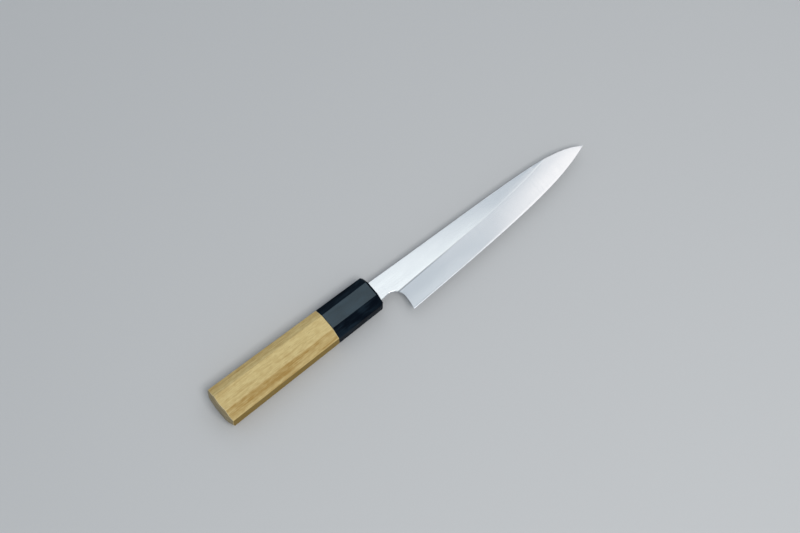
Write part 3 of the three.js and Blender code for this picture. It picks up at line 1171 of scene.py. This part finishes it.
    def tang(self) -> Piece:
        """Models the tang, with its root inside the neck.

        Returns:
            The tang.
        """
        root, end = self.tang_root_height / 2, self.tang_end_height / 2
        root_x, end_x = self.neck_thickness, -self.tang_length
        taper_x = end_x + self.tang_point_length
        outline = [(root_x, -root), (root_x, root), (0, root), (taper_x, end), (end_x, 0)]
        outline += [(taper_x, -end), (0, -root)]
        return plate("tang", outline, self.tang_thickness)

    def ease_choil(self, piece: Piece) -> None:
        """Rounds the edges between the choil and the blade's sides, less where the blade is thin.

        Args:
            piece: Blade that is changed.
        """
        mesh = bmesh.new()
        mesh.from_mesh(piece.data)
        weights = mesh.edges.layers.float.new("bevel_weight_edge")
        for edge in (edge for edge in mesh.edges if len(edge.link_faces) == 2):
            wall, side = sorted(abs(face.normal.z) for face in edge.link_faces)
            middle = (edge.verts[0].co + edge.verts[1].co) / 2
            in_reach = middle.x > 2 * self.shoulder_gap and middle.y < 0
            if in_reach and wall < self.choil_wall_lean and side > self.blade_side_lean:
                edge[weights] = min(1.0, self.choil_break_share * abs(middle.z) / self.choil_break)
        mesh.to_mesh(piece.data)
        mesh.free()
        break_edges(piece, self.choil_break, Edges.WEIGHTED)

    def map_grind(self, piece: Piece) -> None:
        """Stores where each point lies along the blade and how far up the bevel, for the finish.

        Args:
            piece: Blade that is marked.
        """
        layer = piece.data.uv_layers.new(name=GRIND_MAP)
        for loop in piece.data.loops:
            place = piece.data.vertices[loop.vertex_index].co
            along = (place.x + self.tang_length) / (self.tip_x + self.tang_length)
            up = (place.y - self.edge_height(place.x)) / self.bevel_height(place.x)
            layer.data[loop.index].uv = (along, up * RIDGE_SHARE)

    def build(self) -> Piece:
        """Models the blade.

        Returns:
            The blade in the knife's own axes.
        """
        piece = self.blank()
        cut_with(piece, self.choil(), Cut.TAKE_AWAY)
        self.ease_choil(piece)
        cut_with(piece, self.tang(), Cut.JOIN)
        self.map_grind(piece)
        return piece


@dataclass(frozen=True)
class SoftBox:
    """A soft box that hangs level and shines straight down."""

    name: str
    place: Triple
    size: Point
    radiance: float
    colour: Triple = (1.0, 1.0, 1.0)
    shape: BoxShape = BoxShape.SQUARE

    def hang(self) -> None:
        """Adds the light to the scene, with its power worked out from the brightness of its face."""
        data = bpy.data.lights.new(self.name, "AREA")
        data.shape = self.shape.value
        data.size, data.size_y = self.size
        area = self.size[0] * self.size[1]
        if self.shape is BoxShape.OVAL:
            area *= math.pi / 4
        data.energy = self.radiance * math.pi * area
        data.color = self.colour
        light = bpy.data.objects.new(self.name, data)
        bpy.context.scene.collection.objects.link(light)
        light.location = self.place


@dataclass
class Studio:
    """Floor, lights and camera. The camera aims at a point in the knife's own millimetres."""

    aim: Triple = (23.25, 2.58, 0.107)
    heading: float = math.radians(50.78)
    tilt: float = math.radians(20.64)
    distance: float = 1.0922
    lens: float = 81.0
    sensor: float = 36.0
    floor_size: float = 6.0
    floor_cells: int = 4
    floor_finish: PaleFloor = PaleFloor()
    sky_colour: Triple = (0.92, 1.0, 1.08)
    sky_strength: Fade = Fade((0.65, 0.88), (0.4, 0.63))
    boxes: tuple[SoftBox, ...] = (
        SoftBox("key", (-0.08, -0.6, 1.15), (0.5, 0.5), 10.4, (1.0, 0.99, 0.97)),
        SoftBox("over_heel", (0.09, 0.274, 1.0), (0.57, 0.126), 0.575, (1.0, 0.99, 0.9), BoxShape.OVAL),
        SoftBox("over_tip", (0.545, 0.0, 1.0), (0.388, 0.576), 0.7, (1.0, 0.855, 0.75), BoxShape.OVAL),
        SoftBox("along_edge", (0.33, -0.26, 1.0), (0.45, 0.12), 1.1),
        SoftBox("along_spine", (0.38, 0.9, 1.0), (0.5, 0.6), 0.8),
    )

    def lay_floor(self) -> None:
        """Lays the plain floor."""
        cells = self.floor_cells
        bpy.ops.mesh.primitive_grid_add(x_subdivisions=cells, y_subdivisions=cells, size=self.floor_size)
        floor = take_new("floor")
        floor.data.materials.append(self.floor_finish.material(Vector()))

    def light(self) -> None:
        """Sets a sky that is bright overhead and dim around the sides, and hangs the soft boxes."""
        world = bpy.data.worlds.new("studio")
        bpy.context.scene.world = world
        world.use_nodes = True
        sky = NodeTree(world.node_tree)
        up = sky.part(sky.add("ShaderNodeTexCoord").outputs["Generated"], "Z")
        feeds = {"Color": self.sky_colour, "Strength": sky.ramp(up, self.sky_strength)}
        background = sky.add("ShaderNodeBackground", feeds)
        sky.add("ShaderNodeOutputWorld", {"Surface": background.outputs["Background"]})
        for box in self.boxes:
            box.hang()

    def shoot(self, placement: Matrix) -> None:
        """Sets the camera at the photograph's viewing angle.

        Args:
            placement: Matrix from the knife's millimetres to the frame's metres.
        """
        along = Vector((math.cos(self.heading), math.sin(self.heading), 0))
        forward = along * math.sin(self.tilt) - Vector((0, 0, math.cos(self.tilt)))
        data = bpy.data.cameras.new("camera")
        data.lens = self.lens
        data.sensor_width = self.sensor
        data.sensor_fit = "HORIZONTAL"
        camera = bpy.data.objects.new("camera", data)
        bpy.context.scene.collection.objects.link(camera)
        camera.location = placement @ Vector(self.aim) - forward * self.distance
        camera.rotation_euler = forward.to_track_quat("-Z", "Y").to_euler()
        bpy.context.scene.camera = camera
        bpy.context.scene.view_settings.view_transform = "Standard"


def lying_place(handle: Handle, blade: Blade) -> Matrix:
    """Works out how the knife lies in the frame, on the left flats of its handle.

    Args:
        handle: Gives the taper that the knife leans by.
        blade: Gives the tip, which touches the end of the CAD box.

    Returns:
        The matrix from the knife's millimetres to the frame's metres.
    """
    lean = math.atan2((handle.butt.thickness - handle.front.thickness) / 2, -handle.butt_x)
    turn = Matrix.Rotation(lean, 4, "Y")
    butt_low, butt_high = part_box("grip")
    tip_x = (turn @ Vector((blade.tip_x, 0, 0))).x * MM
    floor_z = (turn @ Vector((0, 0, -handle.front.thickness / 2))).z * MM
    shift = Vector((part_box("blade")[1].x - tip_x, (butt_low.y + butt_high.y) / 2, -floor_z))
    return Matrix.Translation(shift) @ turn @ Matrix.Scale(MM, 4)


def main() -> None:
    """Builds the knife, its floor, lights and camera, and reports each piece."""
    logging.basicConfig(level=logging.INFO, format="%(name)s: %(message)s")
    handle = Handle()
    blade = Blade()
    placement = lying_place(handle, blade)
    centre = placement.to_translation()
    makers: dict[str, SubAssembly] = {"blade": blade, "ferrule": Ferrule(handle), "grip": Grip(handle)}
    for node, maker in makers.items():
        piece = maker.build()
        make_active(piece)
        piece.matrix_world = placement
        bpy.ops.object.transform_apply(location=True, rotation=True, scale=True)
        maker.dress(piece, centre)
        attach(piece, BODY)
        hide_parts(node)
        LOG.info("%s stands for %s with %d faces", piece.name, node, len(piece.data.polygons))
    inner: dict[str, Finish] = {
        "core_dowel": PaleWood("dowel_wood", light=(0.55, 0.41, 0.2), dark=(0.42, 0.29, 0.13)),
        "tang_bedding": AmberResin(),
    }
    for node, finish in inner.items():
        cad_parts[node].material_slots[0].material = finish.material(centre)
        LOG.info("%s keeps its solid and takes %s", node, finish.name)
    studio = Studio()
    studio.lay_floor()
    studio.light()
    studio.shoot(placement)


if __name__ == "__main__":
    main()
